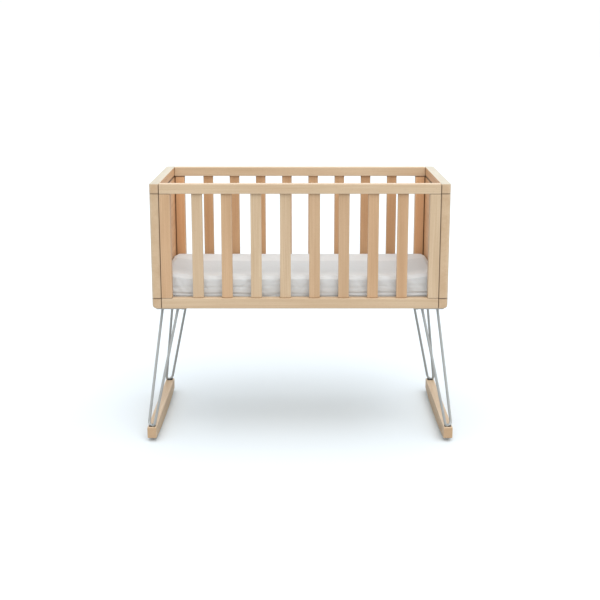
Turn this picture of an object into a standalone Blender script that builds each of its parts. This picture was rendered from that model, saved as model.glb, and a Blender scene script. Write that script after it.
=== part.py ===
"""Rocking bassinet on hairpin legs: a slatted beech box, a mattress and two curved rockers.

Metres, +Z up.  The origin is on the floor, midway between the rockers, where their soles touch.
+X runs along the bassinet's length, +Y across it, and the front is towards -Y.
"""
from math import atan2, cos, pi, radians, sin, sqrt

import bmesh
import bpy
from mathutils import Matrix, Vector

# Box body, outside
BODY_LENGTH = 0.885
BODY_WIDTH = 0.470
BODY_HEIGHT = 0.374
PANEL = 0.028             # thickness of the rails, the stiles and the end panels
TOP_RAIL = 0.029          # heights of the rails, the same on the sides and the ends
BOTTOM_RAIL = 0.031
STILE = 0.032             # width of a side's outer uprights
CORNER_ROUND = 0.010      # outer corners and bottom edge of the end panels
EASE = 0.0015             # small chamfer on every other edge of the wood
JOINT = 0.0005            # open line left at a visible joint
GAP = 0.0003              # clearance of pieces that touch

# Slats of the long sides
SLATS = 8
END_GAP = 0.062           # from a stile to the slat beside it; the other gaps are equal
SLAT_WIDTH = 0.032
SLAT_THICKNESS = 0.014
SLAT_TENON = 0.010        # how far each end goes into its rail
SHOULDER = 0.003          # how much narrower the tenon is than the slat, on every side

# Corner bolts, through the end rails into the ends of the side rails
BOLT_SHANK = 0.006
BOLT_REACH = 0.032        # how far the bolt goes into the side rail
BOLT_HEAD = 0.012
BOLT_HEAD_HEIGHT = 0.004
BOLT_SINK = 0.006         # depth of the counterbore
BOLT_SINK_PLAY = 0.001    # how much wider it is than the head
HEX_KEY = 0.0035          # radius of the hexagon socket
HEX_DEPTH = 0.0022

# Mattress and its support
MATTRESS_END_PLAY = 0.003
MATTRESS_SIDE_PLAY = 0.006
MATTRESS_HEIGHT = 0.066
MATTRESS_ROUND = 0.011
CLEAT_HEIGHT = 0.010
CLEAT_WIDTH = 0.018
BASE_THICKNESS = 0.010
BASE_PLAY = 0.002         # room around the base board
VENT = 0.030              # ventilation holes through the base board
VENT_COLUMNS = 6
VENT_ROWS = 2

# Hairpin legs, each one the same on both sides of its corner's diagonal
LEG_HEIGHT = 0.366        # from the rockers' top to the body's underside
ROD = 0.008
BEND_RADIUS = 0.0135      # centre line of the bend at the foot
BEND_OUTSET = 0.009       # middle of the bend, out from the body's end and from its side
ROD_INSET_NEAR = 0.024    # a rod's top, in from the face it is nearer to
ROD_INSET_FAR = 0.075     # and in from the other face of the corner
PLATE = 0.0025
PLATE_SIZE = 0.086
PLATE_INSET = 0.0108      # plate edge, in from the body's end
PLATE_INSET_SIDE = 0.003  # and in from its side
PLATE_ROUND = 0.006       # corners of the plate
WELD = 0.001              # how far a rod runs into its plate
BEND_STEPS = 10
ROD_FACETS = 2            # the tube's bevel resolution

# Leg screws, one into the side rail and one into the end rail of each corner
SCREW = 0.004
SCREW_LENGTH = 0.018      # length in the wood
SCREW_HEAD = 0.009
SCREW_HEAD_HEIGHT = 0.0024
SCREW_MARGIN = 0.0065     # from the plate's inner edges
SCREW_INSET = 0.018       # screw into the end rail, in from the body's end
SCREW_KEY = 0.0014        # radius and depth of its hexagon socket
SCREW_KEY_DEPTH = 0.0012

# Rockers
ROCKER_OVERHANG = 0.025   # how far its ends stand out from the body's sides
ROCKER_WIDTH = 0.028
ROCKER_END_HEIGHT = 0.035
SOLE_RISE = 0.011         # how far the rockers' ends are off the floor
SOLE_STEPS = 21
ROCKER_EASE = 0.002

# Black sockets that hold the bends
SOCKET_SIZE = 0.019
SOCKET_DEPTH = 0.014      # how far it goes into the rocker
SOCKET_PROUD = 0.003      # and how far it stands out of it, so that its lips clip over the bend
SOCKET_ROUND = 0.005
ROD_SINK = 0.003          # how deep the bend sits in the socket

# Heights worked out from the sizes above
ROCKER_TOP = SOLE_RISE + ROCKER_END_HEIGHT
BODY_BOTTOM = ROCKER_TOP + LEG_HEIGHT
BODY_TOP = BODY_BOTTOM + BODY_HEIGHT
SIDE_BOTTOM_Z = BODY_BOTTOM + BOTTOM_RAIL
SIDE_TOP_Z = BODY_TOP - TOP_RAIL
SIDE_HALF = BODY_LENGTH / 2 - PANEL - JOINT      # the long sides stand between the end panels
SIDE_Y = BODY_WIDTH / 2 - PANEL / 2              # middle of a long side's thickness
END_X = BODY_LENGTH / 2 - PANEL / 2              # middle of an end panel's thickness
CLEAT_TOP = BODY_BOTTOM + GAP + CLEAT_HEIGHT
BASE_BOTTOM = CLEAT_TOP + GAP
MATTRESS_BOTTOM = BASE_BOTTOM + BASE_THICKNESS + GAP
WELL_LENGTH = BODY_LENGTH - 2 * PANEL
WELL_WIDTH = BODY_WIDTH - 2 * PANEL
ROCKER_X = BODY_LENGTH / 2 + BEND_OUTSET
ROCKER_LENGTH = BODY_WIDTH + 2 * ROCKER_OVERHANG
FOOT_Y = BODY_WIDTH / 2 + BEND_OUTSET

PANEL_HEIGHT = SIDE_TOP_Z - SIDE_BOTTOM_Z - 2 * JOINT    # stiles and end panels
PANEL_MIDDLE = (SIDE_TOP_Z + SIDE_BOTTOM_Z) / 2

FLAT_ANGLE = radians(0.05)    # faces nearer than this to one plane are one face

SIGNS = ((-1, "left"), (1, "right"))
DEPTHS = ((-1, "front"), (1, "back"))
RAIL_LEVELS = (("top", TOP_RAIL, BODY_TOP - TOP_RAIL / 2),
               ("bottom", BOTTOM_RAIL, BODY_BOTTOM + BOTTOM_RAIL / 2))


def start_scene():
    """Empty the scene and make one collection for the bassinet and one for its cutters."""
    for obj in list(bpy.data.objects):
        bpy.data.objects.remove(obj, do_unlink=True)
    made = []
    for name in ("rocking_bassinet", "cutters"):
        group = bpy.data.collections.new(name)
        bpy.context.scene.collection.children.link(group)
        made.append(group)
    return made


BASSINET, CUTTERS = start_scene()


def finish_material(name, colour, roughness, metallic=0.0):
    """A plain Principled material."""
    material = bpy.data.materials.new(name)
    material.use_nodes = True
    shader = material.node_tree.nodes["Principled BSDF"]
    shader.inputs["Base Color"].default_value = (*colour, 1.0)
    shader.inputs["Roughness"].default_value = roughness
    shader.inputs["Metallic"].default_value = metallic
    material.diffuse_color = (*colour, 1.0)
    return material


BEECH = finish_material("beech", (0.62, 0.44, 0.26), 0.45)
PLYWOOD = finish_material("plywood", (0.60, 0.45, 0.29), 0.6)
COVER = finish_material("mattress_cover", (0.80, 0.80, 0.79), 0.9)
LEG_STEEL = finish_material("painted_rod", (0.58, 0.60, 0.60), 0.3, 0.6)
ZINC = finish_material("zinc_screw", (0.55, 0.55, 0.54), 0.35, 1.0)
BLACK_PLASTIC = finish_material("black_plastic", (0.03, 0.03, 0.03), 0.5)


def add_object(name, mesh, material, group=None):
    """Put a mesh in the scene as a named object."""
    obj = bpy.data.objects.new(name, mesh)
    (group or BASSINET).objects.link(obj)
    if material:
        mesh.materials.clear()
        mesh.materials.append(material)
    return obj


def cutter(obj):
    """Mark an object as a cutting tool."""
    obj.hide_render = True
    obj.display_type = "WIRE"
    return obj


def box_mesh(name, size):
    """A box centred on its origin."""
    shape = bmesh.new()
    bmesh.ops.create_cube(shape, size=1.0)
    bmesh.ops.scale(shape, vec=size, verts=shape.verts)
    mesh = bpy.data.meshes.new(name)
    shape.to_mesh(mesh)
    shape.free()
    return mesh


def rounded_box_mesh(name, size, radius, steps, edge_test):
    """A box centred on its origin, with the edges that pass edge_test(a, b) rounded."""
    mesh = box_mesh(name, size)
    shape = bmesh.new()
    shape.from_mesh(mesh)
    edges = [edge for edge in shape.edges if edge_test(edge.verts[0].co, edge.verts[1].co)]
    bmesh.ops.bevel(shape, geom=edges, offset=radius, segments=steps, affect="EDGES", profile=0.5)
    shape.to_mesh(mesh)
    shape.free()
    return mesh


def ease_edges(obj, width=EASE, steps=1):
    """Chamfer or round every sharp edge of a piece."""
    bevel = obj.modifiers.new("eased_edges", "BEVEL")
    bevel.width = width
    bevel.segments = steps
    bevel.limit_method = "ANGLE"
    bevel.angle_limit = radians(40)


def cut(obj, tools):
    """Cut tools out of a piece, all of them in one pass."""
    kit_name = obj.name + "_cutters"
    kit = bpy.data.collections.get(kit_name)
    if not kit:
        kit = bpy.data.collections.new(kit_name)
        CUTTERS.children.link(kit)
        boolean = obj.modifiers.new("cuts", "BOOLEAN")
        boolean.operation = "DIFFERENCE"
        boolean.solver = "EXACT"
        boolean.operand_type = "COLLECTION"
        boolean.collection = kit
    for tool in tools:
        kit.objects.link(tool)


def join(obj, other):
    """Weld another solid onto a piece."""
    boolean = obj.modifiers.new(other.name, "BOOLEAN")
    boolean.operation = "UNION"
    boolean.solver = "EXACT"
    boolean.object = cutter(other)


def board(name, size, centre, material=BEECH, ease=EASE):
    """A plain wooden piece with eased edges."""
    obj = add_object(name, box_mesh(name, size), material)
    obj.location = centre
    ease_edges(obj, ease)
    return obj


def turned(name, profile, steps, material, group=None):
    """A turned solid: (radius, height) points down its outer side, from axis to axis."""
    points = [(radius, 0.0, height) for radius, height in profile]
    mesh = bpy.data.meshes.new(name)
    mesh.from_pydata(points, [(i, i + 1) for i in range(len(points) - 1)], [])
    obj = add_object(name, mesh, material, group)
    screw = obj.modifiers.new("turned", "SCREW")
    screw.steps = steps
    screw.render_steps = steps
    screw.use_merge_vertices = True
    screw.merge_threshold = 0.00001
    return obj


def aim(obj, place, direction):
    """Put an object at a place with its local +Z along a direction."""
    turn = Vector((0, 0, 1)).rotation_difference(Vector(direction))
    obj.matrix_world = Matrix.Translation(place) @ turn.to_matrix().to_4x4()


def bore(name, place, direction, diameter, depth, sink=(0, 0), steps=16):
    """A cutter for a round hole that starts at a place and runs along a direction.

    sink is the diameter and depth of a counterbore at its mouth, if it has one.
    """
    before = 0.002        # the tool starts outside the face it enters
    sink_diameter, sink_depth = sink
    profile = [(0, depth), (diameter / 2, depth)]
    if sink_depth:
        profile += [(diameter / 2, sink_depth), (sink_diameter / 2, sink_depth)]
    profile += [(profile[-1][0], -before), (0, -before)]
    tool = cutter(turned(name, profile, steps, None, CUTTERS))
    aim(tool, place, direction)
    return tool


def rod_object(name, points, radius):
    """A round rod along a line of points, as a closed mesh."""
    curve = bpy.data.curves.new(name, "CURVE")
    curve.dimensions = "3D"
    curve.bevel_depth = radius
    curve.bevel_resolution = ROD_FACETS
    curve.use_fill_caps = True
    spline = curve.splines.new("POLY")
    spline.points.add(len(points) - 1)
    for knot, point in zip(spline.points, points):
        knot.co = (*point, 1.0)
    return curve_to_object(name, curve)


def evaluated_mesh(obj):
    """A new mesh of an object with its modifiers, or of a curve with its bevel."""
    bpy.context.view_layer.update()
    evaluated = obj.evaluated_get(bpy.context.evaluated_depsgraph_get())
    return bpy.data.meshes.new_from_object(evaluated)


def curve_to_object(name, curve):
    """Turn a curve into a welded mesh object in the cutters' collection."""
    holder = bpy.data.objects.new(name, curve)
    CUTTERS.objects.link(holder)
    mesh = evaluated_mesh(holder)
    place = holder.matrix_world.copy()
    bpy.data.objects.remove(holder, do_unlink=True)
    shape = bmesh.new()
    shape.from_mesh(mesh)
    bmesh.ops.remove_doubles(shape, verts=shape.verts, dist=0.00001)
    bmesh.ops.dissolve_limit(shape, angle_limit=FLAT_ANGLE, verts=shape.verts, edges=shape.edges)
    bmesh.ops.recalc_face_normals(shape, faces=shape.faces)
    shape.to_mesh(mesh)
    shape.free()
    obj = add_object(name, mesh, None, CUTTERS)
    obj.matrix_world = place
    return obj


def keep(obj, material):
    """Move a finished piece from the cutters' collection to the bassinet's."""
    CUTTERS.objects.unlink(obj)
    BASSINET.objects.link(obj)
    obj.data.materials.clear()
    obj.data.materials.append(material)


def slat_places():
    """Middles of the slats along X: END_GAP off the stiles, and evenly spaced between."""
    outermost = SIDE_HALF - STILE - END_GAP - SLAT_WIDTH / 2
    return [outermost * (2 * index / (SLATS - 1) - 1) for index in range(SLATS)]


def bolt_places():
    """Where each corner bolt stands: its end, side and rail, with the height of its axis."""
    return [(sx, end, sy, side, level, z) for sx, end in SIGNS for sy, side in DEPTHS
            for level, _, z in RAIL_LEVELS]


def bolt_bore(sx, sy, level, z):
    """A cutter for one bolt: its counterbore, and a bore on through the rail into the side."""
    length = PANEL + JOINT + BOLT_REACH + GAP
    return bore(f"bolt_bore_{level}_{sx}_{sy}", (sx * BODY_LENGTH / 2, sy * SIDE_Y, z),
                (-sx, 0, 0), BOLT_SHANK + 2 * GAP, length,
                (BOLT_HEAD + BOLT_SINK_PLAY, BOLT_SINK))


def is_upright(a, b):
    """True for a box's vertical edge."""
    return abs(a.z - b.z) > 2 * abs(a.x - b.x) + 2 * abs(a.y - b.y)


def screw_places():
    """Leg screws of each corner, as (sx, sy, name, x, y): one in the side, one in the end."""
    inner_x = BODY_LENGTH / 2 - PLATE_INSET - PLATE_SIZE + SCREW_MARGIN
    inner_y = BODY_WIDTH / 2 - PLATE_INSET_SIDE - PLATE_SIZE + SCREW_MARGIN
    end_x = BODY_LENGTH / 2 - SCREW_INSET
    places = []
    for sx, end in SIGNS:
        for sy, side in DEPTHS:
            places.append((sx, sy, f"{side}_{end}_side", sx * inner_x, sy * SIDE_Y))
            places.append((sx, sy, f"{side}_{end}_end", sx * end_x, sy * inner_y))
    return places


def make_bores():
    """All cutters for bolts and leg screws, keyed by the corner and the piece they cut."""
    bolts = {}
    for sx, _, sy, _, level, z in bolt_places():
        bolts[sx, sy, level] = bolt_bore(sx, sy, level, z)
    screws = {}
    for sx, sy, name, x, y in screw_places():
        tool = bore("screw_bore_" + name, (x, y, BODY_BOTTOM - GAP - PLATE), (0, 0, 1),
                    SCREW + 2 * GAP, PLATE + GAP + SCREW_LENGTH, steps=12)
        screws[sx, sy, name.rsplit("_", 1)[1]] = tool
    return bolts, screws


def make_slat_mesh(shown, tenon):
    """One slat's mesh: a board with eased long edges and a narrower tenon out of each end."""
    size = (SLAT_WIDTH, SLAT_THICKNESS, shown)
    blank = rounded_box_mesh("slat_blank", size, EASE, 2, is_upright)
    slat = add_object("slat_blank", blank, BEECH, CUTTERS)
    core_mesh = box_mesh("slat_core", (*tenon, shown + 2 * SLAT_TENON))
    core = cutter(add_object("slat_core", core_mesh, None, CUTTERS))
    join(slat, core)
    mesh = evaluated_mesh(slat)
    mesh.name = "slat"
    for spare in (slat, core):
        bpy.data.objects.remove(spare, do_unlink=True)
    return mesh


def make_long_side(sy, side, slat_mesh, tenon, bolts, screws):
    """A long side: two rails, two stiles flush between them, and eight thinner slats."""
    y = sy * SIDE_Y
    rails = {}
    for level, height, z in RAIL_LEVELS:
        rail = board(f"{side}_{level}_rail", (2 * SIDE_HALF, PANEL, height), (0, y, z))
        cut(rail, [bolts[sx, sy, level] for sx, _ in SIGNS])
        rails[level] = rail
    cut(rails["bottom"], [screws[sx, sy, "side"] for sx, _ in SIGNS])

    for sx, end in SIGNS:
        x = sx * (SIDE_HALF - STILE / 2)
        board(f"{side}_{end}_stile", (STILE, PANEL, PANEL_HEIGHT), (x, y, PANEL_MIDDLE))

    mortise = [width + 2 * GAP for width in tenon] + [2 * (SLAT_TENON + GAP)]
    for index, x in enumerate(slat_places(), 1):
        slat = add_object(f"{side}_slat_{index}", slat_mesh, BEECH)
        slat.location = (x, y, PANEL_MIDDLE)
        for level, z in (("top", SIDE_TOP_Z), ("bottom", SIDE_BOTTOM_Z)):
            name = f"mortise_{side}_{level}_{index}"
            tool = cutter(add_object(name, box_mesh(name, mortise), None, CUTTERS))
            tool.location = (x, y, z)
            cut(rails[level], [tool])


def make_end(sx, end, bolts, screws):
    """An end: a solid panel between two rails, all rounded at the outer corners."""
    def is_outer_upright(a, b):
        return is_upright(a, b) and sx * a.x > 0

    def is_rounded_foot(a, b):
        outer = sx * a.x > 0 and sx * b.x > 0
        return is_outer_upright(a, b) or (outer and a.z < 0 and b.z < 0)

    pieces = [("panel", PANEL_HEIGHT, PANEL_MIDDLE, is_outer_upright)]
    for level, height, z in RAIL_LEVELS:
        test = is_outer_upright if level == "top" else is_rounded_foot
        pieces.append((level + "_rail", height, z, test))
    for kind, height, z, edge_test in pieces:
        name = f"{end}_end_{kind}"
        size = (PANEL, BODY_WIDTH, height)
        mesh = rounded_box_mesh(name, size, CORNER_ROUND, 5, edge_test)
        piece = add_object(name, mesh, BEECH)
        piece.location = (sx * END_X, 0, z)
        ease_edges(piece)
        level = kind.split("_")[0]
        if level in ("top", "bottom"):
            cut(piece, [bolts[sx, sy, level] for sy, _ in DEPTHS])
        if level == "bottom":
            cut(piece, [screws[sx, sy, "end"] for sy, _ in DEPTHS])


def make_bolt(sx, sy, name, z):
    """A corner bolt: a low round head with a hexagon socket, on a plain shank."""
    shank_end = PANEL - BOLT_SINK + JOINT + BOLT_REACH
    under = GAP
    profile = [(0, under + BOLT_HEAD_HEIGHT), (BOLT_HEAD / 2 - 0.001, under + BOLT_HEAD_HEIGHT),
               (BOLT_HEAD / 2, under + BOLT_HEAD_HEIGHT - 0.001), (BOLT_HEAD / 2, under),
               (BOLT_SHANK / 2, under), (BOLT_SHANK / 2, -shank_end), (0, -shank_end)]
    bolt = turned(name, profile, 16, ZINC)
    face = Vector((sx * (BODY_LENGTH / 2 - BOLT_SINK), sy * SIDE_Y, z))
    aim(bolt, face, (sx, 0, 0))
    cut(bolt, [hex_tool(name, face + Vector((sx * (under + BOLT_HEAD_HEIGHT), 0, 0)), (sx, 0, 0),
                        HEX_KEY, HEX_DEPTH)])


def hex_tool(name, place, direction, radius, depth):
    """A hexagonal cutter sunk into a face that looks along a direction."""
    shape = bmesh.new()
    bmesh.ops.create_cone(shape, cap_ends=True, segments=6, radius1=radius, radius2=radius,
                          depth=2 * depth)
    mesh = bpy.data.meshes.new("hex_" + name)
    shape.to_mesh(mesh)
    shape.free()
    tool = cutter(add_object("hex_" + name, mesh, None, CUTTERS))
    aim(tool, place, direction)
    return tool


def make_leg_screw(name, x, y):
    """A pan-head screw that holds a leg plate from below, with a hexagon socket."""
    seat = BODY_BOTTOM - GAP - PLATE - GAP
    shank_end = PLATE + SCREW_LENGTH
    profile = [(0, SCREW_HEAD_HEIGHT), (SCREW_HEAD / 2 - 0.001, SCREW_HEAD_HEIGHT),
               (SCREW_HEAD / 2, SCREW_HEAD_HEIGHT - 0.001), (SCREW_HEAD / 2, 0),
               (SCREW / 2, 0), (SCREW / 2, -shank_end), (0, -shank_end)]
    screw = turned(f"leg_screw_{name}", profile, 12, ZINC)
    place = Vector((x, y, seat))
    aim(screw, place, (0, 0, -1))
    cut(screw, [hex_tool(f"screw_{name}", place - Vector((0, 0, SCREW_HEAD_HEIGHT)), (0, 0, -1),
                         SCREW_KEY, SCREW_KEY_DEPTH)])


def hairpin_points(sx, sy, top_z):
    """The centre line of a hairpin leg.

    Both rods start at one height and run straight to where they touch the bend's circle.  They
    lie in one plane, square to the corner's diagonal and leaning out along it, so the line is
    worked out in that plane: across it, and down it.
    """
    near = (BODY_LENGTH / 2 - ROD_INSET_NEAR, BODY_WIDTH / 2 - ROD_INSET_FAR)
    far = (BODY_LENGTH / 2 - ROD_INSET_FAR, BODY_WIDTH / 2 - ROD_INSET_NEAR)
    tops = [Vector((*near, top_z)), Vector((*far, top_z))]
    bend = Vector((ROCKER_X, FOOT_Y, ROCKER_TOP - ROD_SINK + ROD / 2 + BEND_RADIUS))
    across = (tops[0] - tops[1]).normalized()
    down = bend - (tops[0] + tops[1]) / 2
    down = (down - across * down.dot(across)).normalized()

    def touch_angle(top, side):
        away = top - bend
        along, drop = away.dot(across), away.dot(down)
        towards = atan2(side * along, drop) % (2 * pi)
        spread = atan2(sqrt(along ** 2 + drop ** 2 - BEND_RADIUS ** 2), BEND_RADIUS)
        return side * (towards - spread)

    first = touch_angle(tops[0], 1)
    last = touch_angle(tops[1], -1)
    points = [tops[0]]
    for step in range(BEND_STEPS + 1):
        angle = first + (last - first) * step / BEND_STEPS
        points.append(bend + BEND_RADIUS * (sin(angle) * across + cos(angle) * down))
    points.append(tops[1])
    return [Vector((sx * x, sy * y, z)) for x, y, z in points]


def make_leg(sx, sy, name, screws):
    """A hairpin leg: one bent rod welded under a flat plate with two screw holes."""
    plate_mesh = rounded_box_mesh(name, (PLATE_SIZE, PLATE_SIZE, PLATE), PLATE_ROUND, 3,
                                  is_upright)
    leg = add_object(name, plate_mesh, LEG_STEEL)
    leg.location = (sx * (BODY_LENGTH / 2 - PLATE_INSET - PLATE_SIZE / 2),
                    sy * (BODY_WIDTH / 2 - PLATE_INSET_SIDE - PLATE_SIZE / 2),
                    BODY_BOTTOM - GAP - PLATE / 2)
    points = hairpin_points(sx, sy, BODY_BOTTOM - GAP - PLATE + WELD)
    rod = rod_object(f"{name}_rod", points, ROD / 2)
    join(leg, rod)
    cut(leg, [screws[sx, sy, "side"], screws[sx, sy, "end"]])
    return rod_object(f"{name}_groove", points, ROD / 2 + GAP)


def rocker_outline():
    """Side view of a rocker as (y, z): flat top, upright ends and an arc for the sole."""
    half = ROCKER_LENGTH / 2
    radius = (half ** 2 + SOLE_RISE ** 2) / (2 * SOLE_RISE)
    swing = atan2(half, radius - SOLE_RISE)
    points = [(-half, ROCKER_TOP), (half, ROCKER_TOP)]
    for step in range(SOLE_STEPS + 1):
        angle = swing * (1 - 2 * step / SOLE_STEPS)
        points.append((radius * sin(angle), radius * (1 - cos(angle))))
    return points[::-1]


def make_rocker(sx, end, grooves):
    """A curved wooden rocker, pocketed at each end for the socket that holds a leg's bend."""
    curve = bpy.data.curves.new(f"{end}_rocker", "CURVE")
    curve.dimensions = "2D"
    curve.fill_mode = "BOTH"
    curve.extrude = ROCKER_WIDTH / 2
    outline = rocker_outline()
    spline = curve.splines.new("POLY")
    spline.points.add(len(outline) - 1)
    for knot, (y, z) in zip(spline.points, outline):
        knot.co = (y, z, 0.0, 1.0)
    spline.use_cyclic_u = True
    rocker = curve_to_object(f"{end}_rocker", curve)
    upright = Matrix(((0, 0, 1, sx * ROCKER_X), (1, 0, 0, 0), (0, 1, 0, 0), (0, 0, 0, 1)))
    rocker.matrix_world = upright
    keep(rocker, BEECH)
    ease_edges(rocker, ROCKER_EASE)
    for sy, side in DEPTHS:
        name = f"{side}_{end}_leg_socket"
        y = sy * FOOT_Y
        size = (SOCKET_SIZE, SOCKET_SIZE, SOCKET_DEPTH + SOCKET_PROUD)
        pocket_size = (SOCKET_SIZE + 2 * GAP, SOCKET_SIZE + 2 * GAP, 2 * (SOCKET_DEPTH + GAP))
        pocket_mesh = rounded_box_mesh("pocket_" + name, pocket_size, SOCKET_ROUND + GAP, 4,
                                       is_upright)
        pocket = cutter(add_object("pocket_" + name, pocket_mesh, None, CUTTERS))
        pocket.location = (sx * ROCKER_X, y, ROCKER_TOP)
        cut(rocker, [pocket])
        mesh = rounded_box_mesh(name, size, SOCKET_ROUND, 4, is_upright)
        socket = add_object(name, mesh, BLACK_PLASTIC)
        socket.location = (sx * ROCKER_X, y, ROCKER_TOP + (SOCKET_PROUD - SOCKET_DEPTH) / 2)
        cut(socket, [grooves[sx, sy]])


def make_base():
    """Two cleats along the sides, and the vented board that rests on them."""
    length = WELL_LENGTH - 2 * BASE_PLAY
    for sy, side in DEPTHS:
        y = sy * (WELL_WIDTH / 2 - GAP - CLEAT_WIDTH / 2)
        board(f"{side}_cleat", (length, CLEAT_WIDTH, CLEAT_HEIGHT),
              (0, y, BODY_BOTTOM + GAP + CLEAT_HEIGHT / 2), BEECH, EASE / 2)
    size = (length, WELL_WIDTH - 2 * BASE_PLAY, BASE_THICKNESS)
    base = board("mattress_base", size, (0, 0, BASE_BOTTOM + BASE_THICKNESS / 2), PLYWOOD, EASE / 2)
    for column in range(VENT_COLUMNS):
        x = WELL_LENGTH * ((column + 0.5) / VENT_COLUMNS - 0.5)
        for row in range(VENT_ROWS):
            y = WELL_WIDTH * ((row + 0.5) / VENT_ROWS - 0.5)
            tool = bore(f"vent_{column}_{row}", (x, y, BASE_BOTTOM), (0, 0, 1), VENT,
                        2 * BASE_THICKNESS)
            cut(base, [tool])


def make_mattress():
    """The mattress: one soft block that stands clear of the sides."""
    size = (WELL_LENGTH - 2 * MATTRESS_END_PLAY, WELL_WIDTH - 2 * MATTRESS_SIDE_PLAY,
            MATTRESS_HEIGHT)
    mattress = add_object("mattress", box_mesh("mattress", size), COVER)
    mattress.location = (0, 0, MATTRESS_BOTTOM + MATTRESS_HEIGHT / 2)
    ease_edges(mattress, MATTRESS_ROUND, 3)


def make_bassinet():
    """Every piece of the bassinet."""
    bolts, screws = make_bores()
    shown = PANEL_HEIGHT + 2 * JOINT - 2 * GAP
    tenon = (SLAT_WIDTH - 2 * SHOULDER, SLAT_THICKNESS - 2 * SHOULDER)
    slat_mesh = make_slat_mesh(shown, tenon)
    for sy, side in DEPTHS:
        make_long_side(sy, side, slat_mesh, tenon, bolts, screws)
    for sx, end in SIGNS:
        make_end(sx, end, bolts, screws)
    for sx, end, sy, side, level, z in bolt_places():
        make_bolt(sx, sy, f"{side}_{end}_{level}_bolt", z)
    for _, _, name, x, y in screw_places():
        make_leg_screw(name, x, y)
    grooves = {}
    for sx, end in SIGNS:
        for sy, side in DEPTHS:
            grooves[sx, sy] = cutter(make_leg(sx, sy, f"{side}_{end}_leg", screws))
        make_rocker(sx, end, grooves)
    make_base()
    make_mattress()


make_bassinet()
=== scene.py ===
"""The looks of a rocking bassinet on hairpin legs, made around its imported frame.

Metres, +Z up.  +X runs along the bassinet's length, and the front is towards -Y.  The frame says
where every piece is; each piece gets its finished surface and its material here.
"""
from math import pi, radians

import bmesh
import bpy
import numpy as np
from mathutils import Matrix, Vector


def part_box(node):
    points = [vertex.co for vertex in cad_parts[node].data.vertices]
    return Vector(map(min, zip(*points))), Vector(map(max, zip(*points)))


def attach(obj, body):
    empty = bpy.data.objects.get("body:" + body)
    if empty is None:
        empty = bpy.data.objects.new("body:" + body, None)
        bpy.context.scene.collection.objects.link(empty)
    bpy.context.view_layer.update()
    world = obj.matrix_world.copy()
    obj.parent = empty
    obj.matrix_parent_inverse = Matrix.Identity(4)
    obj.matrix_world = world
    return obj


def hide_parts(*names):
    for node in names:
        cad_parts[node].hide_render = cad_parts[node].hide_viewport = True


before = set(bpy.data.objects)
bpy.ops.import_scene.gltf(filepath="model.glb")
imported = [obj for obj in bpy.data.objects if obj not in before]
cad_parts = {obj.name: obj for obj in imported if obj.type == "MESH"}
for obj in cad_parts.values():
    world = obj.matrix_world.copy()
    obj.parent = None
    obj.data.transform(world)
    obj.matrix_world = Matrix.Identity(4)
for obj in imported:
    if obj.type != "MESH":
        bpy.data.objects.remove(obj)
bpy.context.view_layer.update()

# Camera
CAMERA_DISTANCE = 3.5862  # in front of the bassinet's middle
CAMERA_RISE = 0.4225  # above the body's top
CAMERA_DIP = radians(12.94)
CAMERA_LENS = 69.0

# Wood
EASE = 0.0015  # rounding of the boards' edges
CORNER_ROUND = 0.010  # the ends' outer corners, and their outer bottom edge
ROCKER_EASE = 0.003
WEAR = 0.003  # how far the rubbed edge of a board reaches over its flats
RING = 0.0032  # a year's growth in the beech
# How much rosier some of the boards are than the palest ones
ROSY = {"front_left_stile": 1.2, "front_slat_2": 1.2, "front_slat_5": 0.8, "front_slat_6": 0.8,
        "front_slat_7": 1.3, "front_slat_8": 1.3}
PAINTED_BACK_BOUNCE_WARMTH = 1.75  # painted warm bounce light, on the inner sides of all the back's upright boards
CORNER_REACH = 0.04  # how near the ends the back's corner uprights are
PAINTED_CORNER_LIGHT = 1.34  # painted light and shade: tones, and added or lost warmth, of some faces
# painted shade: the rockers' tops darker, as they lie in the shade under the body
PAINTED_ROCKER_TOP_SHADE = 0.88
# painted sheen: the ends' tops paler and cooler, as they reflect the white backdrop
PAINTED_SHEEN_TONE = 0.58
PAINTED_SHEEN_WARMTH = 3.0
# painted light: the ends' inner faces lighter and warmer, with light bounced round inside
PAINTED_INSIDE_LIGHT_TONE = 1.30
PAINTED_INSIDE_BOUNCE_WARMTH = 1.7
SLATS = 8
POCKET_PLAY = 0.0003  # room round a socket in its rocker

# Legs
ROD = 0.008
BEND_RADIUS = 0.0135
ROD_SINK = 0.003  # how deep the bend sits in its socket
ROD_INSET_NEAR = 0.024  # a rod's top, in from the body's nearer face
ROD_INSET_FAR = 0.075  # and in from the other face of the corner
PLATE = 0.0025
PLATE_ROUND = 0.006
PLATE_EASE = 0.0004
PLATE_INSET_END = 0.0108  # in from the body's end, and from its side
PLATE_INSET_SIDE = 0.003
WELD = 0.0016  # how far the weld bead stands out from the rod
SOLE_RISE = 0.011  # how far the rockers' ends are off the floor
SOCKET_ROUND = 0.005
SOCKET_EASE = 0.0007
GROOVE_PLAY = 0.0002  # room round the bend in its socket's groove

# Fasteners
BOLT_SHANK = 0.006
BOLT_HEAD = 0.012
BOLT_HEAD_HEIGHT = 0.004
BOLT_SINK = 0.006
BOLT_PLAY = 0.0005  # room round a bolt's head in its hole
BOLT_KEY = 0.0035  # half the socket's width across its flats
SCREW_SHANK = 0.004
SCREW_HEAD = 0.009
SCREW_HEAD_HEIGHT = 0.0024
SCREW_KEY = 0.0014

# Base board
VENT = 0.030
VENTS = (6, 2)  # along and across

# Mattress
MATTRESS_ROUND = 0.006  # its top and bottom edges
MATTRESS_CORNERS = (0.016, 0.008, 0.004, 0.010)  # its upright corners, front right first
MATTRESS_MARGIN = np.array([0.0004, 0.0035, 0.0010])  # room left for its cover to swell
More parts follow.
